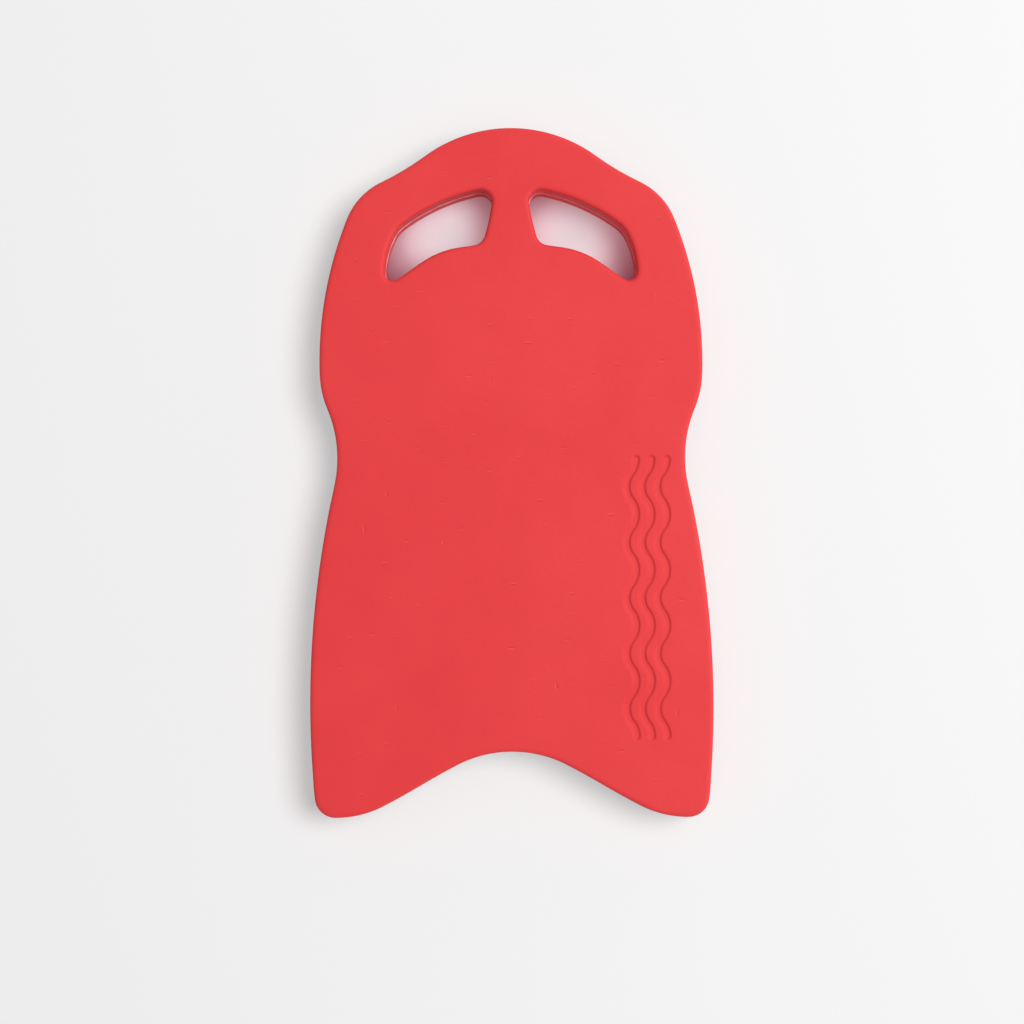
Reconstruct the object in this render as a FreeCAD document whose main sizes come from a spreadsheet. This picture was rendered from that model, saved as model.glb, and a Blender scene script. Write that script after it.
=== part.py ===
import FreeCAD, Part
import math
import os

import Sketcher

# A foam swimming board with two hand holes and a notched tail. It is two foam sheets
# bonded face to face, and it lies flat: X runs across, Y runs to the nose and Z is up.
# The origin is under the middle of the board, on the floor. The outline and the hand
# hole are drawn for the right half (X above 0) and mirrored. Sizes are in millimetres
# and degrees. "Along" is a distance from the middle in Y and "across" is one in X.

DIMENSIONS = [
    # The stack
    ("sheet_thickness", 15.5, "one foam sheet"),
    ("bond_thickness", 1.0, "adhesive between the sheets"),
    ("edge_radius", 3.0, "round-over of the outer rim and the hand holes"),
    # Outline, clockwise from the nose to the tail notch
    ("nose_along", 230.0, "tip of the nose"),
    ("nose_radius", 97.0, "nose arc"),
    ("slope_radius", 190.0, "hollow between nose and shoulder"),
    ("shoulder_radius", 46.0, "shoulder corner"),
    ("shoulder_along", 152.5, "centre of the shoulder arc"),
    ("side_radius", 255.0, "upper side"),
    ("side_across", 127.8, "widest place of the upper side"),
    ("side_along", 74.0, "widest place of the upper side"),
    ("hip_radius", 66.0, "turn from the upper side into the waist"),
    ("waist_radius", 85.0, "hollow of the waist"),
    ("waist_across", 116.1, "narrowest place"),
    ("waist_along", 10.0, "narrowest place"),
    ("flank_radius", 660.0, "long lower side"),
    ("flank_across", 134.6, "half of the full width"),
    ("corner_radius", 14.0, "tail corner"),
    ("lobe_radius", 70.0, "tail lobe"),
    ("lobe_across", 117.5, "lowest place of the tail lobe"),
    ("lobe_along", -230.0, "lowest place of the tail lobe"),
    ("notch_radius", 80.0, "hollow of the tail notch"),
    ("notch_along", -186.2, "top of the notch"),
    # Right hand hole, clockwise from its upper edge
    ("upper_radius", 130.0, "long upper edge"),
    ("upper_across", -5.1, "centre of the upper edge's arc"),
    ("upper_along", 61.4, "centre of the upper edge's arc"),
    ("knuckle_radius", 22.0, "upper outer corner"),
    ("outer_radius", 56.0, "outer end"),
    ("outer_across", 84.2, "outer end"),
    ("outer_along", 133.0, "outer end"),
    ("tip_radius", 5.5, "lower outer tip"),
    ("tip_along", 133.8, "centre of the tip's arc"),
    ("palm_angle", 145.0, "direction of the straight lower edge"),
    ("arch_radius", 60.0, "arch of foam under the palm"),
    ("arch_along", 91.1, "centre of the arch"),
    ("ledge_angle", 172.0, "direction of the short edge between the arch and the thumb"),
    ("thumb_radius", 9.0, "lower inner corner"),
    ("bridge_angle", 102.5, "direction of the edge beside the bridge"),
    ("bridge_across", 17.0, "lower end of the edge beside the bridge"),
    ("crown_radius", 8.0, "upper inner corner"),
    # Pressed waves on the top face, to the right of the centreline
    ("wave_count", 3, "waves, side by side"),
    ("wave_spacing", 10.25, "one wave to the next"),
    ("wave_across", 80.0, "middle line of the first wave"),
    ("wave_along", 9.0, "crest that a wave starts at"),
    ("wave_length", 37.0, "one crest to the next"),
    ("wave_radius", 15.0, "each arc of a wave"),
    ("groove_width", 5.0, "across a groove at the face"),
    ("groove_floor", 3.0, "across a groove at its floor"),
    ("groove_depth", 1.0, "from the face to the floor of a groove"),
]
WAVE_LENGTHS = 5  # in each wave, from its first crest to its last

# The least that each kind of cut takes out, in cubic millimetres, or square ones for a hole
LEAST_HOLE = 1500
LEAST_ROUNDING = 1000
LEAST_GROOVE = 500
LEAST_GROOVE_ENDS = 10

RIGHT, STRAIGHT, LEFT = 1, 0, -1

# Each outline is a run of pieces, each tangent to the next. A piece has a name, the way it
# turns and about where it starts. The dimensions settle the exact places.
OUTLINE = [
    ("nose", RIGHT, (0, 230)),
    ("slope", LEFT, (57, 211)),
    ("shoulder", RIGHT, (85, 194)),
    ("side", RIGHT, (109, 170)),
    ("hip", RIGHT, (128, 74)),
    ("waist", LEFT, (123, 47)),
    ("flank", RIGHT, (118, -9)),
    ("corner", RIGHT, (132, -217)),
    ("lobe", RIGHT, (118, -230)),
    ("tail", STRAIGHT, (76, -219)),
    ("notch", LEFT, (36, -196)),
    ("middle", STRAIGHT, (0, -186)),
]
HAND_HOLE = [
    ("upper", RIGHT, (22, 188)),
    ("knuckle", RIGHT, (71, 167)),
    ("outer", RIGHT, (80, 153)),
    ("tip", RIGHT, (84, 133)),
    ("palm", STRAIGHT, (75, 129)),
    ("arch", LEFT, (60, 140)),
    ("ledge", STRAIGHT, (34, 150)),
    ("thumb", RIGHT, (23, 152)),
    ("bridge", STRAIGHT, (17, 158)),
    ("crown", RIGHT, (12, 181)),
]

# How a sketch names its own origin, and the centre of an arc
ORIGIN = (-1, 1)
CENTRE = 3

doc = FreeCAD.newDocument("kickboard")
sheet = doc.addObject("Spreadsheet::Sheet", "Dimensions")
for row, (alias, value, note) in enumerate(DIMENSIONS, start=1):
    sheet.set(f"A{row}", note)
    sheet.set(f"B{row}", str(value))
    sheet.setAlias(f"B{row}", alias)
doc.recompute()


def cell(alias):
    return f"Dimensions.{alias}"


def wave_place(steps):
    """How far along the board a wave is after this many half lengths."""
    return f"{cell('wave_along')} - {steps} * {cell('wave_length')} / 2"


# How far across the board the crests of the first wave are
WAVE_CREST = (
    f"{cell('wave_across')} + {cell('wave_radius')}"
    f" - sqrt({cell('wave_radius')} ^ 2 - ({cell('wave_length')} / 4) ^ 2)"
)


def origin_part(body, role):
    """The plane or axis with this role in the body's own origin."""
    return next(part for part in body.Origin.OriginFeatures if part.Role == role)


def new_sketch(body, name, plane="XY_Plane", offset="0"):
    """A sketch on one of the body's own planes, or lifted off it by a formula."""
    sketch = body.newObject("Sketcher::SketchObject", name)
    sketch.AttachmentSupport = [(origin_part(body, plane), "")]
    sketch.MapMode = "FlatFace"
    sketch.setExpression("AttachmentOffset.Base.z", offset)
    return sketch


def worked_out(sketch, *formulas):
    """Formulas of the sheet's cells as numbers, to draw near the right place."""
    return [float(sketch.evalExpression(formula)) for formula in formulas]


def dimension(sketch, name, kind, *where, formula):
    """A named driving dimension of a sketch that follows the sheet."""
    value = worked_out(sketch, formula)[0]
    if kind == "Angle":
        value = math.radians(value)
    number = sketch.addConstraint(Sketcher.Constraint(kind, *where, value))
    sketch.renameConstraint(number, name)
    sketch.setExpression(f"Constraints.{name}", formula)


def place(sketch, name, point, across=None, along=None):
    """Holds a point of a sketch at a distance across and along from the sketch's origin."""
    if across is not None:
        dimension(sketch, f"{name}_across", "DistanceX", *ORIGIN, *point, formula=across)
    if along is not None:
        dimension(sketch, f"{name}_along", "DistanceY", *ORIGIN, *point, formula=along)


def arc(first, last, turn, radius):
    """The shorter arc from first to last, and its vertices in that order."""
    chord = last - first
    to_the_right = FreeCAD.Vector(chord.y, -chord.x, 0).normalize()
    height = math.sqrt(radius**2 - (chord.Length / 2) ** 2)
    centre = (first + last) / 2 + to_the_right * turn * height
    circle = Part.Circle(centre, FreeCAD.Vector(0, 0, 1), radius)
    ends = (last, first) if turn == RIGHT else (first, last)
    angles = [math.atan2(point.y - centre.y, point.x - centre.x) for point in ends]
    return Part.ArcOfCircle(circle, *angles), (2, 1) if turn == RIGHT else (1, 2)


def draw_run(sketch, pieces, end, radius=None):
    """Draws pieces end to end, each arc with the radius of its own name unless one is given.
    Returns each piece's number, first vertex and last vertex by the piece's name."""
    points = [FreeCAD.Vector(*start, 0) for name, turn, start in pieces]
    points.append(FreeCAD.Vector(*end, 0))
    run = {}
    for (name, turn, start), first, last in zip(pieces, points, points[1:]):
        if turn == STRAIGHT:
            run[name] = (sketch.addGeometry(Part.LineSegment(first, last)), 1, 2)
        else:
            curve, vertices = arc(first, last, turn, *worked_out(sketch, radius or cell(f"{name}_radius")))
            run[name] = (sketch.addGeometry(curve), *vertices)
    for name, turn, start in pieces:
        if turn != STRAIGHT:
            formula = radius or cell(f"{name}_radius")
            dimension(sketch, f"{name}_radius", "Radius", run[name][0], formula=formula)
    return run


def join(sketch, run, pairs, kind="Tangent"):
    """Joins the end of the first piece of each pair to the start of the second."""
    for name, next_name in pairs:
        number, first, last = run[name]
        next_number, next_first, next_last = run[next_name]
        sketch.addConstraint(Sketcher.Constraint(kind, number, last, next_number, next_first))


def draw_outline(body):
    """The right half of the board seen from above, closed along the centreline."""
    sketch = new_sketch(body, f"{body.Name}_outline")
    run = draw_run(sketch, OUTLINE, OUTLINE[0][2])
    names = list(run)
    join(sketch, run, zip(names[:-2], names[1:-1]))
    join(sketch, run, [("notch", "middle"), ("middle", "nose")], kind="Coincident")
    start = {name: (number, first) for name, (number, first, last) in run.items()}
    centre = {name: (number, CENTRE) for name, (number, first, last) in run.items()}
    place(sketch, "nose", start["nose"], "0", cell("nose_along"))
    place(sketch, "nose_centre", centre["nose"], "0")
    place(sketch, "shoulder", centre["shoulder"], along=cell("shoulder_along"))
    side_across = f"{cell('side_across')} - {cell('side_radius')}"
    place(sketch, "side", centre["side"], side_across, cell("side_along"))
    waist_across = f"{cell('waist_across')} + {cell('waist_radius')}"
    place(sketch, "waist", centre["waist"], waist_across, cell("waist_along"))
    place(sketch, "flank", centre["flank"], f"{cell('flank_across')} - {cell('flank_radius')}")
    lobe_along = f"{cell('lobe_along')} + {cell('lobe_radius')}"
    place(sketch, "lobe", centre["lobe"], cell("lobe_across"), lobe_along)
    place(sketch, "notch_centre", centre["notch"], "0")
    place(sketch, "notch", start["middle"], "0", cell("notch_along"))
    return sketch


def draw_hand_hole(body):
    """The right hand hole seen from above."""
    sketch = new_sketch(body, f"{body.Name}_hand_hole")
    run = draw_run(sketch, HAND_HOLE, HAND_HOLE[0][2])
    names = list(run)
    join(sketch, run, zip(names, names[1:] + names[:1]))
    centre = {name: (number, CENTRE) for name, (number, first, last) in run.items()}
    place(sketch, "upper", centre["upper"], cell("upper_across"), cell("upper_along"))
    outer_across = f"{cell('outer_across')} - {cell('outer_radius')}"
    place(sketch, "outer", centre["outer"], outer_across, cell("outer_along"))
    place(sketch, "tip", centre["tip"], along=cell("tip_along"))
    place(sketch, "arch", centre["arch"], along=cell("arch_along"))
    bridge, bridge_start, bridge_end = run["bridge"]
    place(sketch, "bridge", (bridge, bridge_start), cell("bridge_across"))
    for name in ("palm", "ledge", "bridge"):
        dimension(sketch, f"{name}_angle", "Angle", run[name][0], formula=cell(f"{name}_angle"))
    return sketch


def must_cut(before, after, least):
    """Stops the build if a cut took less than this volume, as one that faces away would."""
    if before - after < least:
        raise RuntimeError(f"a cut took {before - after:.1f} mm3, and should take {least:.1f} or more")


def cut_plate(body, thickness):
    """A flat plate of the board's whole shape, with both hand holes."""
    half = body.newObject("PartDesign::Pad", f"{body.Name}_half")
    half.Profile = draw_outline(body)
    half.setExpression("Length", thickness)
    doc.recompute()
    hole = body.newObject("PartDesign::Pocket", f"{body.Name}_hole")
    hole.Profile = draw_hand_hole(body)
    hole.Type = "ThroughAll"
    hole.Reversed = True
    doc.recompute()
    must_cut(half.Shape.Volume, hole.Shape.Volume, LEAST_HOLE * half.Shape.BoundBox.ZLength)
    plate = body.newObject("PartDesign::Mirrored", f"{body.Name}_plate")
    plate.Originals = [half, hole]
    plate.MirrorPlane = (origin_part(body, "YZ_Plane"), [""])
    plate.Refine = True
    body.Tip = plate
    doc.recompute()


def round_rims(body, height):
    """Rounds over every edge of the plate's flat face at this height."""
    plate = body.Tip
    for number, face in enumerate(plate.Shape.Faces, start=1):
        if face.normalAt(0, 0).z ** 2 > 0.99 and abs(face.CenterOfMass.z - height) < 0.01:
            flat = f"Face{number}"
    rims = body.newObject("PartDesign::Fillet", f"{body.Name}_rims")
    rims.Base = (plate, [flat])
    rims.setExpression("Radius", cell("edge_radius"))
    body.Tip = rims
    doc.recompute()
    must_cut(plate.Shape.Volume, rims.Shape.Volume, LEAST_ROUNDING)


def draw_wave_path(body):
    """The middle line of the first wave, on the top face, from crest to crest."""
    sketch = new_sketch(body, "wave_path", offset=cell("sheet_thickness"))
    bends = 2 * WAVE_LENGTHS
    pieces = [("wave_0", RIGHT, worked_out(sketch, WAVE_CREST, wave_place(0)))]
    for bend in range(1, bends + 1):
        turn = LEFT if bend % 2 else RIGHT
        pieces.append((f"wave_{bend}", turn, worked_out(sketch, cell("wave_across"), wave_place(bend - 0.5))))
    run = draw_run(sketch, pieces, worked_out(sketch, WAVE_CREST, wave_place(bends)), cell("wave_radius"))
    names = list(run)
    join(sketch, run, zip(names, names[1:]), kind="Coincident")
    for bend in range(1, bends + 1):
        number, first, last = run[f"wave_{bend}"]
        place(sketch, f"bend_{bend}", (number, first), cell("wave_across"), wave_place(bend - 0.5))
    upper, upper_end, upper_bend = run["wave_0"]
    lower, lower_bend, lower_end = run[names[-1]]
    for name, number, vertex, steps in (("upper", upper, upper_end, 0), ("lower", lower, lower_end, bends)):
        place(sketch, f"{name}_end", (number, vertex), along=wave_place(steps))
        sketch.addConstraint(Sketcher.Constraint("Horizontal", number, CENTRE, number, vertex))
    return sketch


def draw_groove_section(body):
    """A groove's section at the crest where the first wave starts. It stands as far above the
    face as the groove is deep, so that the groove opens cleanly through the face."""
    sketch = new_sketch(body, "groove_section", "XZ_Plane", f"-{cell('wave_along')}")
    floor_up = f"{cell('sheet_thickness')} - {cell('groove_depth')}"
    top_up = f"{cell('sheet_thickness')} + {cell('groove_depth')}"
    floor_half = f"{cell('groove_floor')} / 2"
    top_half = f"({cell('groove_width')} - {cell('groove_floor')} / 2)"
    corners = [
        (f"{WAVE_CREST} - {floor_half}", floor_up),
        (f"{WAVE_CREST} + {floor_half}", floor_up),
        (f"{WAVE_CREST} + {top_half}", top_up),
        (f"{WAVE_CREST} - {top_half}", top_up),
    ]
    points = [FreeCAD.Vector(*worked_out(sketch, across, up), 0) for across, up in corners]
    lines = [sketch.addGeometry(Part.LineSegment(*ends)) for ends in zip(points, points[1:] + points[:1])]
    for line, next_line in zip(lines, lines[1:] + lines[:1]):
        sketch.addConstraint(Sketcher.Constraint("Coincident", line, 2, next_line, 1))
    for line, (across, up) in zip(lines, corners):
        place(sketch, f"corner_{line}", (line, 1), across, up)
    return sketch


def draw_groove_ends(body):
    """A circle on the top face at each end of the first wave."""
    sketch = new_sketch(body, "groove_ends", offset=cell("sheet_thickness"))
    radius = f"{cell('groove_width')} / 2"
    for name, steps in (("upper_end", 0), ("lower_end", 2 * WAVE_LENGTHS)):
        centre = FreeCAD.Vector(*worked_out(sketch, WAVE_CREST, wave_place(steps)), 0)
        circle = Part.Circle(centre, FreeCAD.Vector(0, 0, 1), *worked_out(sketch, radius))
        number = sketch.addGeometry(circle)
        place(sketch, name, (number, CENTRE), WAVE_CREST, wave_place(steps))
        dimension(sketch, f"{name}_radius", "Radius", number, formula=radius)
    return sketch


def press_waves(body):
    """Shallow wavy grooves in the top face, with sloping sides and round ends."""
    plain = body.Tip.Shape.Volume
    groove = body.newObject("PartDesign::SubtractivePipe", "groove")
    groove.Profile = draw_groove_section(body)
    groove.Spine = (draw_wave_path(body), [])
    body.Tip = groove
    doc.recompute()
    ends = body.newObject("PartDesign::Pocket", "groove_end_cuts")
    ends.Profile = draw_groove_ends(body)
    ends.setExpression("Length", cell("groove_depth"))
    slope = f"({cell('groove_width')} - {cell('groove_floor')}) / 2 / {cell('groove_depth')}"
    ends.setExpression("TaperAngle", f"-atan({slope})")
    body.Tip = ends
    doc.recompute()
    one_wave = plain - ends.Shape.Volume
    must_cut(plain, groove.Shape.Volume, LEAST_GROOVE)
    must_cut(groove.Shape.Volume, ends.Shape.Volume, LEAST_GROOVE_ENDS)
    waves = body.newObject("PartDesign::LinearPattern", "waves")
    waves.Originals = [groove, ends]
    waves.Direction = (origin_part(body, "X_Axis"), [""])
    waves.setExpression("Length", f"{cell('wave_spacing')} * ({cell('wave_count')} - 1)")
    waves.setExpression("Occurrences", cell("wave_count"))
    body.Tip = waves
    doc.recompute()
    must_cut(plain, waves.Shape.Volume, one_wave * sheet.wave_count - LEAST_GROOVE_ENDS)


def new_body(name, height):
    """A sub-part whose underside is at this height above the floor."""
    body = doc.addObject("PartDesign::Body", name)
    body.Label = name
    body.setExpression("Placement.Base.z", height)
    return body


def lower_foam_sheet():
    body = new_body("lower_foam_sheet", "0")
    cut_plate(body, cell("sheet_thickness"))
    round_rims(body, 0)
    return body


def adhesive_layer():
    body = new_body("adhesive_layer", cell("sheet_thickness"))
    cut_plate(body, cell("bond_thickness"))
    return body


def upper_foam_sheet():
    body = new_body("upper_foam_sheet", f"{cell('sheet_thickness')} + {cell('bond_thickness')}")
    cut_plate(body, cell("sheet_thickness"))
    round_rims(body, sheet.sheet_thickness)
    press_waves(body)
    return body


sub_parts = [lower_foam_sheet(), adhesive_layer(), upper_foam_sheet()]
doc.recompute()

for item in doc.Objects:
    if "Invalid" in item.State or "Error" in item.State:
        raise RuntimeError(f"{item.Name} failed: {item.State}")
    if item.TypeId == "Sketcher::SketchObject" and (item.solve() != 0 or not item.FullyConstrained):
        raise RuntimeError(f"{item.Name} isn't solved and fully constrained")
for body in sub_parts:
    if body.Shape.isNull() or not body.Shape.isValid() or len(body.Shape.Solids) != 1:
        raise RuntimeError(f"{body.Label} isn't one valid solid")

os.makedirs("parts", exist_ok=True)
for body in sub_parts:
    body.Shape.exportStep(f"parts/{body.Label}.step")
    lowest, highest = body.Shape.BoundBox.ZMin, body.Shape.BoundBox.ZMax
    print(f"{body.Label}: {body.Shape.Volume / 1000:.1f} cm3, from {lowest:.1f} to {highest:.1f} mm up")
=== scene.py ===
import math

import bpy
import numpy as np
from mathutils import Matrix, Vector
from mathutils.geometry import delaunay_2d_cdt
from mathutils.kdtree import KDTree


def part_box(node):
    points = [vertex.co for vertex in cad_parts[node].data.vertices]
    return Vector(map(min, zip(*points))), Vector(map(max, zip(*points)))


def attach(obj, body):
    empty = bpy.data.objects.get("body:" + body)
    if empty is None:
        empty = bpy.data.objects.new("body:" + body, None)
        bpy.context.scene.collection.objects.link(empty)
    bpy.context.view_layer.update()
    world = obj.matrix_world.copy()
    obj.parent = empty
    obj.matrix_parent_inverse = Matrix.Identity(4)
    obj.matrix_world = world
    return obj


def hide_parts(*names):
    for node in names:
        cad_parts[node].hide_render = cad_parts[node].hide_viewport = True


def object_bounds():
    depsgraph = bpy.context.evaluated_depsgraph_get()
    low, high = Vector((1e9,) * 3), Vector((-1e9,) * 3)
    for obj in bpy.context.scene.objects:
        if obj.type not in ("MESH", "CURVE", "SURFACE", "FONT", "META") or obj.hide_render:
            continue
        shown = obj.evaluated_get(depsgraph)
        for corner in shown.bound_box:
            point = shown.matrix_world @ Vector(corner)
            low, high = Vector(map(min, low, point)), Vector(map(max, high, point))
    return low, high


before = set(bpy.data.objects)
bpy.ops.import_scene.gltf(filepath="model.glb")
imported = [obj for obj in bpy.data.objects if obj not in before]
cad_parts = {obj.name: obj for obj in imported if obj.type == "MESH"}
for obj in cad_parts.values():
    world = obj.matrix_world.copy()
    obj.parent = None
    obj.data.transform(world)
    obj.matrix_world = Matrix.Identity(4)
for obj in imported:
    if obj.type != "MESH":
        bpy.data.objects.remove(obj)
CAD_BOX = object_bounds()

# A swimming kickboard: two foam sheets, bonded face to face, with two hand holes.
# All lengths are in metres.
MM = 0.001
SEED = 7
LEVEL = 0.01 * MM  # heights this close are the same

# The foam's shape
EDGE_RADIUS = 3 * MM  # round-over between a face and the wall
EDGE_STEPS = 6
WALL_STEPS = 7
WALL_BOW = 0.15 * MM  # how far a wall pulls in, halfway up a sheet
BOND_BEVEL = 0.35 * MM  # the softened corner of a sheet beside the bond
BEVEL_SHAPE = [(1, 0, 1), (0.3, 0.35, 1), (0, 1.1, 0.4)]  # share in, share up, adhesive share
BOND_BEAD = 0.35 * MM  # how far the adhesive stands out of the wall
BOND_SHAPE = [(0.0, 0.0), (0.7, 0.2), (1.0, 0.5), (0.7, 0.8), (0.0, 1.0)]  # share out, share up
BOND_UNEVEN = 0.3  # how much the bead varies
BOND_RIPPLE = 6  # how much shorter its swells are than the foam's
PILLOW = 0.3 * MM  # how far the face falls towards its rim
PILLOW_REACH = 6 * MM
ROLL = 0.09 * MM  # half the height of the long, low waves that foam keeps from its press
CURVE_STEPS = 16  # between two corners of the CAD outline
RIM_SPACING = 1.3 * MM
FACE_SPACING = 1.36 * MM
FACE_MARGIN = 0.55  # from the rim to the first even points, in face spacings
ROW_MARGIN = 0.5  # from a row of points to the first even points, in face spacings
SKIN_START, SKIN_BLEND = 0.76, 0.14  # shares of the height over which the cut wall becomes skin
SHARP_ANGLE = math.radians(55)

# The pressed waves
GROOVE_DEPTH = 1.0 * MM
GROOVE_SPACING = 10.25 * MM
GROOVE_FLOOR = 3.0 * MM
GROOVE_WIDTH = 5.0 * MM
GROOVE_FLOOR_SOFTENING = 0.15 * MM  # on each side of the floor
GROOVE_EDGE_SOFTENING = 0.25 * MM  # on each side of the groove
GROOVE_REACH = 4 * MM
GROOVE_ROWS = np.array([0.0, 0.8, 1.35, 1.75, 2.15, 2.6, 3.2]) * MM
GROOVE_END_SPACING = 0.9 * MM
WAVE_LENGTH = 37.0 * MM
WAVE_RADIUS = 15.0 * MM
WAVE_STEP = 1.2 * MM
WAVE_STRETCH = 1.08  # length along a wave over its straight length

# The short creases in the foam's skin
CREASE_COUNT = 80
CREASE_APART = 12 * MM
CREASE_MARGIN = 9 * MM  # from the rim and from the pressed waves
CREASE_ROWS = np.array([-0.75, -0.35, 0.0, 0.35, 0.7, 1.1]) * MM
CREASE_WIDTH = 0.32 * MM
CREASE_LIP = 0.55  # height of the lip beside a fold, as a share of its depth
CREASE_STEPS = 9
CREASE_RUN = 1.25  # how far its rows of points run, in half lengths
CREASE_CLEAR = 0.6 * MM  # from those rows to the first even points
CREASE_DEEPEST = 0.22 * MM
CREASE_DEPTHS = (0.35, 1)  # as a share of the deepest
CREASE_HALF_LENGTHS = (0.9, 2.2)  # millimetres
CREASE_TURN = 5  # spread of their directions about straight across, in degrees
CREASE_UPRIGHT = 0.08  # share of them that run along the board instead

# The long swells
ROLL_WAVES = 9
ROLL_LENGTHS = (32, 85)  # millimetres

# The foam's cells, the foam's and the adhesive's colours, and the painted shade and painted
# highlight of the creases
CELL_SIZE = 0.9 * MM
RED = (0.77, 0.042, 0.046, 1)
DEEP = (0.67, 0.032, 0.038, 1)
PALE = (0.84, 0.060, 0.063, 1)
FOLD_PAINTED_SHADE = (0.36, 0.016, 0.020, 1)  # painted shade down in a crease's fold
LIP_PAINTED_HIGHLIGHT = (0.95, 0.100, 0.105, 1)  # painted highlight on a crease's lip
CUT = (0.79, 0.098, 0.114, 1)  # the walls
ADHESIVE_PALE = (0.95, 0.56, 0.60, 1)
ADHESIVE_RUDDY = (0.92, 0.36, 0.39, 1)

# The camera, straight above
CAMERA_ABOVE_FACE = 1.2
CAMERA_ACROSS = 0.45 * MM
CAMERA_ALONG = -26.2 * MM
CAMERA_ROLL = math.radians(-0.16)
SENSOR = 36.0
VIEW_WIDTH = 0.6815  # what the picture takes in, at the height of the top face

# The studio
KEY_TURN = math.radians(16)  # from +X towards +Y
KEY_HEIGHT = math.radians(62)  # above the floor
KEY_AWAY = 4.0
KEY_ACROSS = 2.6
KEY_POWER = 154
FILL = 0.23  # from the sky
BACKDROP = 0.88  # near the horizon
HORIZON = (0.10, 0.35)  # heights between which the backdrop gives way to the fill
FLOOR_HALF = 40.0
# Beside the board, by how open the sky is over it: the paper's colour is darker where less sky is
# open, a painted shade, and a glow, stronger and a little cyan close to the board, is a painted
# light that lifts the shadow there
OPEN_REACH = 60 * MM
OPEN_RAYS = 8
PAPER_WITH_PAINTED_SHADE = [
    (0.50, (0.40, 0.40, 0.40, 1)),
    (0.62, (0.42, 0.42, 0.42, 1)),
    (0.80, (0.52, 0.52, 0.52, 1)),
]
GLOW = [
    (0.50, (0.38, 0.44, 0.44, 1)),
    (0.62, (0.38, 0.435, 0.435, 1)),
    (0.70, (0.375, 0.40, 0.40, 1)),
    (0.80, (0.36, 0.36, 0.36, 1)),
]
# Under a hand hole the paper's colour and glow are painted light and shade: a red bounce off the
# walls, redder and darker towards the narrow outer end.
# The stops go by the distance from a point a little nearer the other hole, as a share of HOLE_REACH.
HOLE_REACH = 50 * MM
HOLE_SHIFT = 6 * MM  # of that point from the hole's middle
HOLE_PAINTED_BOUNCE_AND_SHADE = [
    (0.10, (0.30, 0.28, 0.28, 1)),
    (0.28, (0.36, 0.33, 0.34, 1)),
    (0.48, (0.36, 0.33, 0.34, 1)),
    (0.64, (0.25, 0.18, 0.20, 1)),
    (0.92, (0.12, 0.06, 0.07, 1)),
]
HOLE_GLOW = [
    (0.10, (0.45, 0.38, 0.41, 1)),
    (0.28, (0.43, 0.34, 0.37, 1)),
    (0.48, (0.38, 0.23, 0.26, 1)),
    (0.64, (0.34, 0.17, 0.20, 1)),
    (0.92, (0.20, 0.04, 0.06, 1)),
]
# Further out the glow makes up for the lamp's fall-off, up to the horizon.
FAR_START, FAR_END, FAR_GLOW = 0.7, 4.5, 0.30


# ---------------------------------------------------------------- the outline


def outline_loops(node):
    """The outlines of a flat node's top face, each with the foam on its left."""
    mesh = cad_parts[node].data
    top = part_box(node)[1].z
    edges = {}
    for face in mesh.polygons:
        corners = [mesh.vertices[i].co for i in face.vertices]
        if min(c.z for c in corners) < top - LEVEL:
            continue
        keys = [(round(c.x, 6), round(c.y, 6)) for c in corners]
        for start, end in zip(keys, keys[1:] + keys[:1]):
            edges[start, end] = edges.get((start, end), 0) + 1
    follows = {start: end for start, end in edges if (end, start) not in edges}
    loops = []
    while follows:
        loop = [next(iter(follows))]
        while loop[-1] in follows:
            loop.append(follows.pop(loop[-1]))
        loops.append(np.array(loop[:-1]))
    return sorted(loops, key=len, reverse=True)


def smooth_loop(corners, spacing):
    """Evenly spaced points on the smooth curve through a loop's corners, and the normals there."""
    run = np.roll(corners, -1, axis=0) - corners
    length = np.linalg.norm(run, axis=1)[:, None]
    before_run, before = np.roll(run, 1, axis=0), np.roll(length, 1, axis=0)
    heading = (length * before_run / before + before * run / length) / (length + before)
    heading /= np.linalg.norm(heading, axis=1)[:, None]
    leave, arrive = heading * length, np.roll(heading, -1, axis=0) * length
    t = np.linspace(0, 1, CURVE_STEPS, endpoint=False)[:, None, None]
    fine = (
        (2 * t**3 - 3 * t**2 + 1) * corners
        + (t**3 - 2 * t**2 + t) * leave
        + (3 * t**2 - 2 * t**3) * np.roll(corners, -1, axis=0)
        + (t**3 - t**2) * arrive
    )
    fine = fine.transpose(1, 0, 2).reshape(-1, 2)
    closed = np.vstack([fine, fine[:1]])
    along = np.concatenate([[0], np.cumsum(np.linalg.norm(np.diff(closed, axis=0), axis=1))])
    count = round(along[-1] / spacing)
    places = np.linspace(0, along[-1], count, endpoint=False)
    points = np.column_stack([np.interp(places, along, closed[:, axis]) for axis in (0, 1)])
    tangent = np.roll(points, -1, axis=0) - np.roll(points, 1, axis=0)
    tangent /= np.linalg.norm(tangent, axis=1)[:, None]
    return points, np.column_stack([tangent[:, 1], -tangent[:, 0]])


def point_tree(points):
    """A tree that finds the nearest of some points in the XY plane."""
    tree = KDTree(len(points))
    for number, (x, y) in enumerate(points):
        tree.insert((x, y, 0), number)
    tree.balance()
    return tree


LOOPS = [smooth_loop(corners, RIM_SPACING) for corners in outline_loops("adhesive_layer")]
RIM = np.vstack([points for points, _ in LOOPS])
RIM_NORMALS = np.vstack([normals for _, normals in LOOPS])
RIM_TREE = point_tree(RIM)


def inside_depth(points):
    """How far each point lies inside the outline; it is negative outside."""
    nearest = [RIM_TREE.find((x, y, 0))[1] for x, y in points]
    return ((RIM[nearest] - points) * RIM_NORMALS[nearest]).sum(axis=1)


# ------------------------------------------------------- grooves and creases


def smooth_step(value):
    """0 up to 0, 1 from 1 on, and smooth between them."""
    t = np.clip(value, 0, 1)
    return t * t * (3 - 2 * t)


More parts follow.
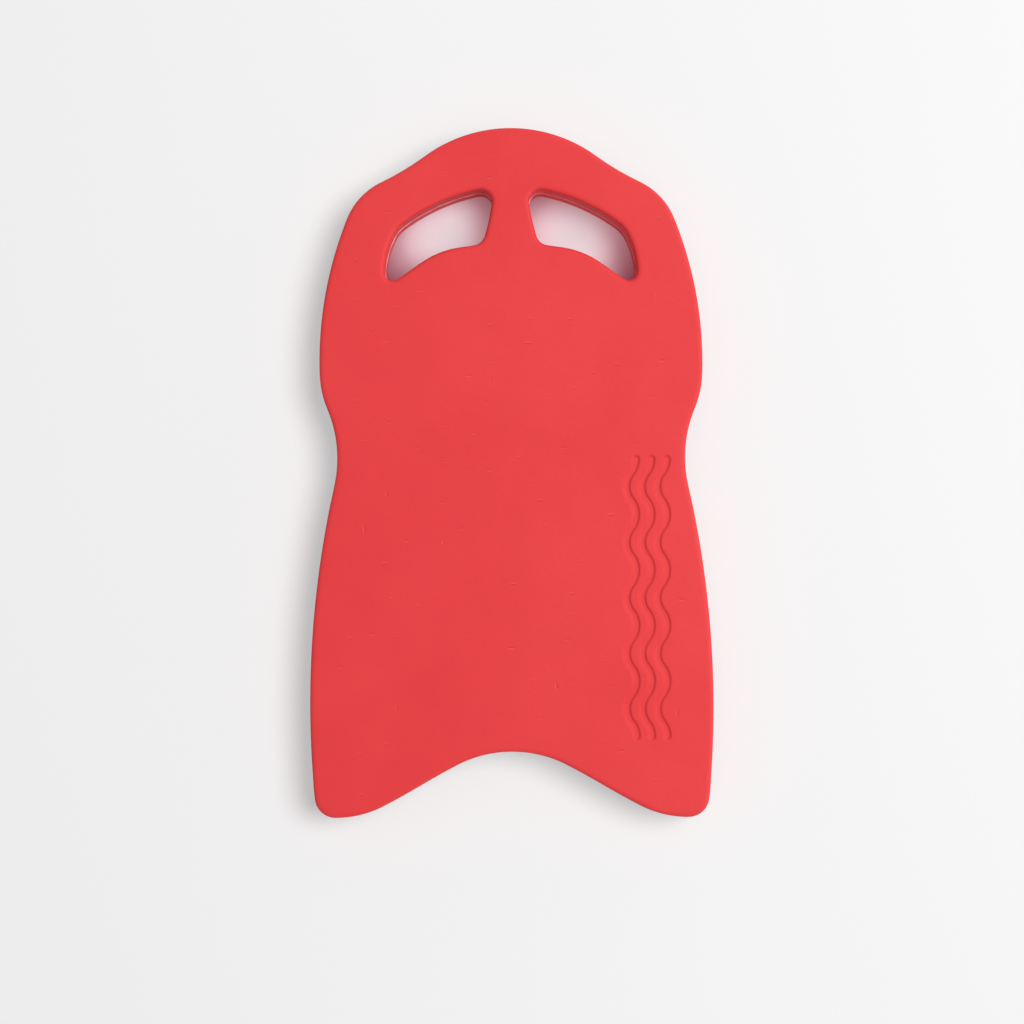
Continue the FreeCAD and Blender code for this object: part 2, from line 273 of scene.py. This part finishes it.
def wave_line(middle, start, end):
    """Points along the middle line of a wave of tangent arcs, from one crest to another."""
    along = np.linspace(start, end, round((start - end) / WAVE_STEP * WAVE_STRETCH))
    half = WAVE_LENGTH / 2
    bend = np.round((start - along) / half)
    from_crest = (start - along) - bend * half
    flank = math.sqrt(WAVE_RADIUS**2 - (half / 2) ** 2)
    side = np.where(bend % 2 == 0, 1, -1)
    across = middle + side * (np.sqrt(WAVE_RADIUS**2 - from_crest**2) - flank)
    return np.column_stack([across, along])


def groove_lines():
    """The middle lines of the waves, from where the CAD's groove floors are."""
    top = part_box("upper_foam_sheet")[1].z
    corners = [v.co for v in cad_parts["upper_foam_sheet"].data.vertices]
    floor = np.array([c.xy for c in corners if abs(c.z - top + GROOVE_DEPTH) < LEVEL])
    low, high = floor.min(axis=0), floor.max(axis=0)
    middle = (low[0] + high[0]) / 2
    start, end = high[1] - GROOVE_FLOOR / 2, low[1] + GROOVE_FLOOR / 2
    return [wave_line(middle + k * GROOVE_SPACING, start, end) for k in (-1, 0, 1)]


def groove_points(line):
    """Mesh points in rows beside a wave's middle line and round its two ends."""
    tangent = np.gradient(line, axis=0)
    tangent /= np.linalg.norm(tangent, axis=1)[:, None]
    side = np.column_stack([tangent[:, 1], -tangent[:, 0]])
    offsets = np.concatenate([-GROOVE_ROWS[:0:-1], GROOVE_ROWS])
    points = [line + side * offset for offset in offsets]
    for end, outward in ((line[0], -tangent[0]), (line[-1], tangent[-1])):
        across = np.array([outward[1], -outward[0]])
        for row in GROOVE_ROWS[1:]:
            steps = max(3, round(math.pi * row / GROOVE_END_SPACING))
            for turn in np.linspace(0, math.pi, steps + 1)[1:-1]:
                points.append([end + row * (math.sin(turn) * outward + math.cos(turn) * across)])
    return np.vstack(points)


def distance_to(tree, line, points, reach):
    """Each point's distance to a line through close-set points, or reach where it is further."""
    distance = np.full(len(points), reach)
    for number, (x, y) in enumerate(points):
        _, nearest, gap = tree.find((x, y, 0))
        if gap > reach + WAVE_STEP:
            continue
        best = gap
        for other in (nearest - 1, nearest + 1):
            if 0 <= other < len(line):
                run = line[other] - line[nearest]
                share = np.clip((points[number] - line[nearest]) @ run / (run @ run), 0, 1)
                best = min(best, np.linalg.norm(points[number] - line[nearest] - share * run))
        distance[number] = min(best, reach)
    return distance


def pressed_share(points, lines, trees):
    """How far each point is pressed in, from 0 on the face to 1 on a groove's floor."""
    half_floor = GROOVE_FLOOR / 2 - GROOVE_FLOOR_SOFTENING
    half_width = GROOVE_WIDTH / 2 + GROOVE_EDGE_SOFTENING
    share = np.zeros(len(points))
    for tree, line in zip(trees, lines):
        gap = distance_to(tree, line, points, GROOVE_REACH)
        share = np.maximum(share, 1 - smooth_step((gap - half_floor) / (half_width - half_floor)))
    return share


def make_creases(random, keep_off):
    """Short, nearly straight creases at seeded places, each a fold with a low lip on one side."""
    low, high = CAD_BOX
    creases = []
    while len(creases) < CREASE_COUNT:
        centre = np.array([random.uniform(low.x, high.x), random.uniform(low.y, high.y)])
        lean = random.normal(0, CREASE_TURN)
        angle = math.radians(lean + (90 if random.random() < CREASE_UPRIGHT else 0))
        half = random.uniform(*CREASE_HALF_LENGTHS) * MM
        depth = random.uniform(*CREASE_DEPTHS) * CREASE_DEEPEST
        side = random.choice([-1, 1])
        if inside_depth(centre[None])[0] < CREASE_MARGIN:
            continue
        if any(np.linalg.norm(centre - other["centre"]) < CREASE_APART for other in creases):
            continue
        if any(np.linalg.norm(line - centre, axis=1).min() < CREASE_MARGIN for line in keep_off):
            continue
        axis = np.array([math.cos(angle), math.sin(angle)])
        creases.append({"centre": centre, "axis": axis * side, "half": half, "depth": depth})
    return creases


def crease_frame(crease, points):
    """Points along and across a crease."""
    axis = crease["axis"]
    offset = points - crease["centre"]
    return offset @ axis, offset @ np.array([-axis[1], axis[0]])


def crease_points(crease):
    """Mesh points in rows along a crease."""
    axis = crease["axis"]
    across = np.array([-axis[1], axis[0]])
    along = np.linspace(-CREASE_RUN, CREASE_RUN, CREASE_STEPS) * crease["half"]
    middle = crease["centre"]
    return np.vstack([middle + a * axis + row * across for row in CREASE_ROWS for a in along])


def crease_height(crease, points):
    """The height that a crease adds to the face."""
    along, across = crease_frame(crease, points)
    place = across / CREASE_WIDTH
    shape = CREASE_LIP * np.exp(-((place - 2) ** 2)) - np.exp(-(place**2))
    return crease["depth"] * shape * np.exp(-((along / crease["half"]) ** 4))


def long_roll(points, random):
    """Low swells, 32 to 85 mm long, that nowhere rise above 0."""
    height = np.zeros(len(points))
    for _ in range(ROLL_WAVES):
        turn = random.uniform(0, math.pi)
        length = random.uniform(*ROLL_LENGTHS) * MM
        phase = random.uniform(0, 2 * math.pi)
        along = points @ np.array([math.cos(turn), math.sin(turn)])
        height += np.sin(2 * math.pi * along / length + phase)
    return ROLL * (np.clip(height / 3, -1, 1) - 1)


# ------------------------------------------------------------------- meshes


def hex_grid(spacing):
    """Points over the whole board in a triangular pattern."""
    low, high = CAD_BOX
    rows = np.arange(low.y, high.y, spacing * math.sqrt(0.75))
    points = []
    for number, y in enumerate(rows):
        x = np.arange(low.x + spacing / 2 * (number % 2), high.x, spacing)
        points.append(np.column_stack([x, np.full(len(x), y)]))
    return np.vstack(points)


def turn_of(a, b, c):
    """Positive where a, b, c turn to the left."""
    return (b[0] - a[0]) * (c[1] - a[1]) - (b[1] - a[1]) * (c[0] - a[0])


def fill_face(rings, points):
    """Triangles over the area that the rings bound, through the given points inside it."""
    flat = np.vstack(rings + ([points] if len(points) else [])) / MM
    edges, owner, start = [], {}, 0
    for number, ring in enumerate(rings):
        count = len(ring)
        edges += [(start + i, start + (i + 1) % count) for i in range(count)]
        owner.update({start + i: number for i in range(count)})
        start += count
    _, _, faces, originals, _, _ = delaunay_2d_cdt(flat.tolist(), edges, [], 0, 1e-5)
    kept = []
    for face in faces:
        corners = [originals[i][0] for i in face]
        owners = {owner.get(i) for i in corners}
        if len(owners) == 1 and None not in owners:
            in_order = sorted(corners)
            if turn_of(*(flat[i] for i in in_order)) <= 0:
                continue
        if turn_of(*(flat[i] for i in corners)) < 0:
            corners.reverse()
        kept.append(corners)
    return kept


def slab_faces(rings, inner):
    """A slab's faces: walls from ring to ring, a flat cap on the first and a face on the last."""
    faces = []
    for level in range(len(rings) - 1):
        start = level * len(RIM)
        for points, _ in LOOPS:
            count = len(points)
            for i in range(count):
                a, b = start + i, start + (i + 1) % count
                faces.append((a, b, b + len(RIM), a + len(RIM)))
            start += count
    faces += [tuple(reversed(corners)) for corners in fill_face(rings[0], [])]
    top_start = (len(rings) - 1) * len(RIM)
    faces += [tuple(top_start + i for i in corners) for corners in fill_face(rings[-1], inner)]
    return faces


def face_points(lines, trees, creases):
    """Mesh points on a face: rows along its grooves and creases, and an even pattern elsewhere."""
    even = hex_grid(FACE_SPACING)
    even = even[inside_depth(even) > EDGE_RADIUS + FACE_MARGIN * FACE_SPACING]
    for tree, line in zip(trees, lines):
        gap = distance_to(tree, line, even, GROOVE_REACH)
        even = even[gap > GROOVE_ROWS[-1] + ROW_MARGIN * FACE_SPACING]
    for crease in creases:
        along, across = crease_frame(crease, even)
        near_ends = abs(along) < CREASE_RUN * crease["half"] + CREASE_CLEAR
        near_rows = abs(across) < CREASE_ROWS[-1] + CREASE_CLEAR
        even = even[~(near_ends & near_rows)]
    rows = [groove_points(line) for line in lines] + [crease_points(crease) for crease in creases]
    return np.vstack([even] + rows)


def wall_profile(thickness):
    """The wall from bond to face: how far in, how far up, edge share and adhesive share."""
    profile = [(i * BOND_BEVEL, up * BOND_BEVEL, 0, adhesive) for i, up, adhesive in BEVEL_SHAPE]
    bevel_top = profile[-1][1]
    straight = thickness - EDGE_RADIUS - bevel_top
    for step in range(1, WALL_STEPS + 1):
        share = step / WALL_STEPS
        up = bevel_top + share * straight
        profile.append((WALL_BOW * math.sin(math.pi * share), up, 0, 0))
    for step in range(1, EDGE_STEPS + 1):
        turn = math.pi / 2 * step / EDGE_STEPS
        inward = EDGE_RADIUS * (1 - math.cos(turn))
        up = thickness - EDGE_RADIUS * (1 - math.sin(turn))
        profile.append((inward, up, math.sin(2 * turn), 0))
    return profile


def make_object(name, vertices, faces, attributes, material):
    """A smooth-shaded mesh object with one float per point in each attribute."""
    mesh = bpy.data.meshes.new(name)
    mesh.from_pydata(np.asarray(vertices).tolist(), [], faces)
    mesh.validate()
    for title, values in attributes.items():
        layer = mesh.attributes.new(title, "FLOAT", "POINT")
        layer.data.foreach_set("value", np.asarray(values, np.float32))
    mesh.shade_smooth()
    mesh.set_sharp_from_angle(angle=SHARP_ANGLE)
    mesh.materials.append(material)
    made = bpy.data.objects.new(name, mesh)
    bpy.context.scene.collection.objects.link(made)
    return made


def foam_sheet(name, node, material, seed, lines):
    """One foam sheet: walls, rounded edge and a face with its skin's creases and any grooves."""
    random = np.random.default_rng(seed)
    low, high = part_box(node)
    thickness = high.z - low.z
    inward, up, edge_share, adhesive = np.array(wall_profile(thickness)).T
    rings = [[points - normals * level for points, normals in LOOPS] for level in inward]
    creases = make_creases(random, lines)
    trees = [point_tree(line) for line in lines]
    inner = face_points(lines, trees, creases)

    flat = np.vstack([np.vstack(ring) for ring in rings] + [inner])
    height = np.append(np.repeat(up, len(RIM)), np.full(len(inner), thickness))
    depth = np.append(np.repeat(inward, len(RIM)), inside_depth(inner))
    on_face = height / thickness
    height = height * (1 - PILLOW / thickness * np.exp(-depth / PILLOW_REACH))
    height += long_roll(flat, random) * on_face**4
    pressed = pressed_share(flat, lines, trees)
    height -= GROOVE_DEPTH * pressed
    creased = np.zeros(len(flat))
    top_points = slice(len(flat) - len(inner), None)
    for crease in creases:
        creased[top_points] += crease_height(crease, flat[top_points])
    height = np.minimum(height + creased, thickness)

    faces = slab_faces(rings, inner)
    if node == "upper_foam_sheet":
        z = low.z + height
    else:
        z = high.z - height
        faces = [tuple(reversed(corners)) for corners in faces]
    no_share = np.zeros(len(inner))
    attributes = {
        "edge_share": np.append(np.repeat(edge_share, len(RIM)), no_share),
        "adhesive": np.append(np.repeat(adhesive, len(RIM)), no_share),
        "pressed": pressed,
        # fold and lip also set where the foam's colour gets its painted shade and painted highlight
        "fold": np.clip(-creased / CREASE_DEEPEST, 0, 1),
        "lip": np.clip(creased / (CREASE_LIP * CREASE_DEEPEST), 0, 1),
        "skin": smooth_step((on_face - SKIN_START) / SKIN_BLEND),
    }
    return make_object(name, np.column_stack([flat, z]), faces, attributes, material)


def bond_sheet(name, node, material):
    """The adhesive film between the sheets, squeezed out a little and unevenly at its edge."""
    random = np.random.default_rng(SEED + 5)
    low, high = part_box(node)
    uneven = 1 + BOND_UNEVEN * long_roll(RIM * BOND_RIPPLE, random)[:, None] / ROLL
    ends = np.cumsum([len(points) for points, _ in LOOPS])[:-1]
    vertices, rings = [], []
    for out, share in BOND_SHAPE:
        flat = RIM + RIM_NORMALS * out * BOND_BEAD * uneven
        height = np.full(len(flat), low.z + share * (high.z - low.z))
        rings.append(np.split(flat, ends))
        vertices.append(np.column_stack([flat, height]))
    return make_object(name, np.vstack(vertices), slab_faces(rings, []), {}, material)


# ---------------------------------------------------------------- materials


def new_material(name):
    """An empty node material: its tree and its surface shader."""
    material = bpy.data.materials.new(name)
    material.use_nodes = True
    return material, material.node_tree, material.node_tree.nodes["Principled BSDF"]


def add(tree, kind, inputs=None, **settings):
    """A node with its settings, and each named or numbered input set or linked."""
    made = tree.nodes.new(kind)
    for name, value in settings.items():
        setattr(made, name, value)
    for name, value in (inputs or {}).items():
        if isinstance(value, bpy.types.NodeSocket):
            tree.links.new(value, made.inputs[name])
        else:
            made.inputs[name].default_value = value
    return made


def noise(tree, place, scale, detail=2.0, roughness=0.5):
    """Noise from 0 to 1, scale cells to the millimetre along each axis."""
    mapped = add(tree, "ShaderNodeMapping", {0: place, "Scale": [s / MM for s in scale]})
    inputs = {"Vector": mapped.outputs[0], "Scale": 1.0, "Detail": detail, "Roughness": roughness}
    return add(tree, "ShaderNodeTexNoise", inputs).outputs[0]


def remap(tree, value, low, high, new_low=0.0, new_high=1.0):
    """value from low..high to new_low..new_high, clamped."""
    inputs = {0: value, 1: low, 2: high, 3: new_low, 4: new_high}
    return add(tree, "ShaderNodeMapRange", inputs).outputs[0]


def calculate(tree, operation, a, b):
    """Two values put through one arithmetic operation."""
    return add(tree, "ShaderNodeMath", {0: a, 1: b}, operation=operation).outputs[0]


def mix_colour(tree, factor, a, b, blend_type="MIX"):
    """Colour a with b blended over it by factor."""
    made = add(tree, "ShaderNodeMix", {0: factor}, data_type="RGBA", blend_type=blend_type)
    for socket, value in ((made.inputs[6], a), (made.inputs[7], b)):
        if isinstance(value, bpy.types.NodeSocket):
            tree.links.new(value, socket)
        else:
            socket.default_value = value
    return made.outputs[2]


def ramp(tree, value, stops, interpolation="LINEAR"):
    """Colours by value, between stops of a value and a colour."""
    made = add(tree, "ShaderNodeValToRGB", {0: value})
    made.color_ramp.interpolation = interpolation
    elements = made.color_ramp.elements
    for number, (position, colour) in enumerate(stops):
        stop = elements[number] if number < 2 else elements.new(position)
        stop.position, stop.color = position, colour
    return made.outputs[0]


def attribute(tree, name):
    """A mesh attribute's value."""
    return add(tree, "ShaderNodeAttribute", attribute_name=name).outputs["Fac"]


def bump(tree, height, distance, under=None):
    """The normal of a surface with this height on it, over any bump already under it."""
    inputs = {"Height": height, "Distance": distance, "Strength": 1.0}
    if under is not None:
        inputs["Normal"] = under
    return add(tree, "ShaderNodeBump", inputs).outputs[0]


def foam_material():
    """Dense closed-cell foam: matt red, with a fine skin on the faces and cut cells on the walls."""
    material, tree, shader = new_material("foam")
    place = add(tree, "ShaderNodeTexCoord").outputs["Object"]
    edge, pressed = attribute(tree, "edge_share"), attribute(tree, "pressed")
    skin, adhesive = attribute(tree, "skin"), attribute(tree, "adhesive")
    fold, lip = attribute(tree, "fold"), attribute(tree, "lip")

    grain = noise(tree, place, (1.1, 1.5, 1.3), 3.0, 0.6)
    wrinkles = noise(tree, place, (0.16, 0.85, 0.5), 2.0, 0.55)
    cell_inputs = {"Vector": place, "Scale": 1 / CELL_SIZE}
    cells = add(tree, "ShaderNodeTexVoronoi", cell_inputs).outputs["Distance"]
    mottle = noise(tree, place, (0.05, 0.05, 0.05), 3.0, 0.55)
    patches = noise(tree, place, (0.012, 0.012, 0.012), 1.0, 0.5)

    colour = mix_colour(tree, remap(tree, mottle, 0.3, 0.7, 0.0, 0.25), RED, DEEP)
    colour = mix_colour(tree, remap(tree, patches, 0.35, 0.65, 0.0, 0.3), colour, PALE)
    colour = mix_colour(tree, remap(tree, grain, 0.35, 0.65, 0.0, 0.12), colour, DEEP)
    # Painted shade down in each crease's fold and a painted highlight on its lip, over their real
    # relief
    colour = mix_colour(tree, calculate(tree, "MULTIPLY", fold, 0.55), colour, FOLD_PAINTED_SHADE)
    colour = mix_colour(tree, calculate(tree, "MULTIPLY", lip, 0.8), colour, LIP_PAINTED_HIGHLIGHT)
    colour = mix_colour(tree, calculate(tree, "MULTIPLY", pressed, 0.15), colour, DEEP)
    worn = calculate(tree, "MULTIPLY", edge, remap(tree, mottle, 0.4, 0.65, 0.1, 0.5))
    colour = mix_colour(tree, worn, colour, PALE)
    cut_colour = mix_colour(tree, remap(tree, grain, 0.35, 0.65, 0.0, 0.3), CUT, RED)
    colour = mix_colour(tree, skin, cut_colour, colour)
    colour = mix_colour(tree, calculate(tree, "MULTIPLY", adhesive, 0.7), colour, ADHESIVE_PALE)
    tree.links.new(colour, shader.inputs["Base Color"])

    rough = remap(tree, grain, 0.3, 0.7, 0.60, 0.72)
    rough = calculate(tree, "SUBTRACT", rough, calculate(tree, "MULTIPLY", pressed, 0.08))
    tree.links.new(rough, shader.inputs["Roughness"])
    shader.inputs["Specular IOR Level"].default_value = 0.25

    height = add(tree, "ShaderNodeMix", {0: skin, 2: cells, 3: grain}).outputs[0]
    relief = bump(tree, height, 0.05 * MM)
    relief = bump(tree, wrinkles, 0.10 * MM, under=relief)
    tree.links.new(relief, shader.inputs["Normal"])
    return material


def bond_material():
    """The pale, slightly glossy edge of the adhesive film."""
    material, tree, shader = new_material("bond")
    place = add(tree, "ShaderNodeTexCoord").outputs["Object"]
    smear = noise(tree, place, (0.08, 0.08, 0.9), 3.0, 0.6)
    grain = noise(tree, place, (1.6, 1.6, 1.6), 2.0, 0.5)
    colour = mix_colour(tree, remap(tree, smear, 0.35, 0.65), ADHESIVE_PALE, ADHESIVE_RUDDY)
    tree.links.new(colour, shader.inputs["Base Color"])
    tree.links.new(remap(tree, grain, 0.3, 0.7, 0.38, 0.55), shader.inputs["Roughness"])
    tree.links.new(bump(tree, grain, 0.06 * MM), shader.inputs["Normal"])
    return material


def floor_material():
    """Plain pale studio paper, with a painted glow and painted shade beside the board, and painted
    red bounce light and shade under the hand holes.
    """
    material, tree, shader = new_material("paper")
    place = add(tree, "ShaderNodeTexCoord").outputs["Object"]
    tooth = noise(tree, place, (0.4, 0.4, 0.4), 2.0, 0.5)
    sky = add(tree, "ShaderNodeAmbientOcclusion", {"Distance": OPEN_REACH}, samples=OPEN_RAYS)
    open_sky = sky.outputs["AO"]
    distance = add(tree, "ShaderNodeVectorMath", {0: place}, operation="LENGTH").outputs["Value"]
    far = remap(tree, distance, FAR_START, FAR_END, 0.0, FAR_GLOW)
    from_hole = HOLE_REACH
    for points, _ in sorted(LOOPS, key=lambda loop: len(loop[0]))[:2]:
        x, y = points.mean(axis=0)
        middle = (x - math.copysign(HOLE_SHIFT, x), y, CAD_BOX[0].z)
        gap = add(tree, "ShaderNodeVectorMath", {0: place, 1: middle}, operation="DISTANCE")
        from_hole = calculate(tree, "MINIMUM", gap.outputs["Value"], from_hole)
    from_hole = calculate(tree, "DIVIDE", from_hole, HOLE_REACH)
    beside = calculate(tree, "GREATER_THAN", from_hole, 0.99)

    grey = remap(tree, tooth, 0.0, 1.0, 0.985, 1.0)
    # Painted red bounce light and painted shade in the paper's colour under the holes
    hole_painted_bounce_and_shade = ramp(tree, from_hole, HOLE_PAINTED_BOUNCE_AND_SHADE, "B_SPLINE")
    # Painted shade in the paper's colour beside the board, where less sky is open
    paper = mix_colour(tree, beside, hole_painted_bounce_and_shade, ramp(tree, open_sky, PAPER_WITH_PAINTED_SHADE))
    colour = mix_colour(tree, 1.0, paper, grey, "MULTIPLY")
    tree.links.new(colour, shader.inputs["Base Color"])
    shader.inputs["Roughness"].default_value = 0.9
    shader.inputs["Specular IOR Level"].default_value = 0.1
    # Painted light: a glow that lifts the shade beside the board
    glow = mix_colour(tree, 1.0, ramp(tree, open_sky, GLOW), far, "ADD")
    # Painted red bounce light glowing under the holes
    glow = mix_colour(tree, beside, ramp(tree, from_hole, HOLE_GLOW, "B_SPLINE"), glow)
    tree.links.new(glow, shader.inputs["Emission Color"])
    shader.inputs["Emission Strength"].default_value = 1.0
    material.cycles.emission_sampling = "NONE"
    return material


# ------------------------------------------------------------------- studio


def make_floor():
    """A wide, plain floor just under the board."""
    signs = [(-1, -1), (1, -1), (1, 1), (-1, 1)]
    corners = [(x * FLOOR_HALF, y * FLOOR_HALF, CAD_BOX[0].z) for x, y in signs]
    floor = make_object("floor", corners, [(0, 1, 2, 3)], {}, floor_material())


def make_lamp(name, turn, height, away, across, power):
    """A round, soft lamp, aimed at the middle of the board from this direction."""
    data = bpy.data.lights.new(name, "AREA")
    data.shape = "DISK"
    data.size = across
    data.energy = power
    flat = math.cos(height)
    towards = Vector((flat * math.cos(turn), flat * math.sin(turn), math.sin(height)))
    lamp = bpy.data.objects.new(name, data)
    lamp.location = away * towards
    lamp.rotation_euler = towards.to_track_quat("Z", "Y").to_euler()
    bpy.context.scene.collection.objects.link(lamp)


def make_light():
    """A key lamp from the right, and an even fill from all round."""
    world = bpy.data.worlds.new("studio")
    world.use_nodes = True
    tree = world.node_tree
    towards = add(tree, "ShaderNodeTexCoord").outputs["Generated"]
    up = add(tree, "ShaderNodeSeparateXYZ", {0: towards}).outputs["Z"]
    fill = tree.nodes["Background"]
    fill.inputs["Color"].default_value = (1.0, 1.0, 1.0, 1)
    tree.links.new(remap(tree, up, *HORIZON, BACKDROP, FILL), fill.inputs["Strength"])
    bpy.context.scene.world = world
    make_lamp("key", KEY_TURN, KEY_HEIGHT, KEY_AWAY, KEY_ACROSS, KEY_POWER)


def make_camera():
    """Straight above the board, with its axis a little below and beside the board's middle."""
    low, high = CAD_BOX
    data = bpy.data.cameras.new("camera")
    data.sensor_width = SENSOR
    data.lens = SENSOR * CAMERA_ABOVE_FACE / VIEW_WIDTH
    camera = bpy.data.objects.new("camera", data)
    middle = (low + high) / 2
    camera.location = (middle.x + CAMERA_ACROSS, middle.y + CAMERA_ALONG, high.z + CAMERA_ABOVE_FACE)
    camera.rotation_euler = (0, 0, CAMERA_ROLL)
    bpy.context.scene.collection.objects.link(camera)
    bpy.context.scene.camera = camera


# --------------------------------------------------------------------- make

make_camera()
make_light()
make_floor()
bpy.context.scene.view_settings.view_transform = "Standard"

foam = foam_material()
waves = groove_lines()
upper = foam_sheet("foam_upper", "upper_foam_sheet", foam, SEED, waves)
lower = foam_sheet("foam_lower", "lower_foam_sheet", foam, SEED + 1, [])
bond = bond_sheet("bond_film", "adhesive_layer", bond_material())

for piece, node, slot in (
    (upper, "upper_foam_sheet", "foam"),
    (lower, "lower_foam_sheet", "foam"),
    (bond, "adhesive_layer", "bond"),
):
    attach(piece, "root")
    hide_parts(node)
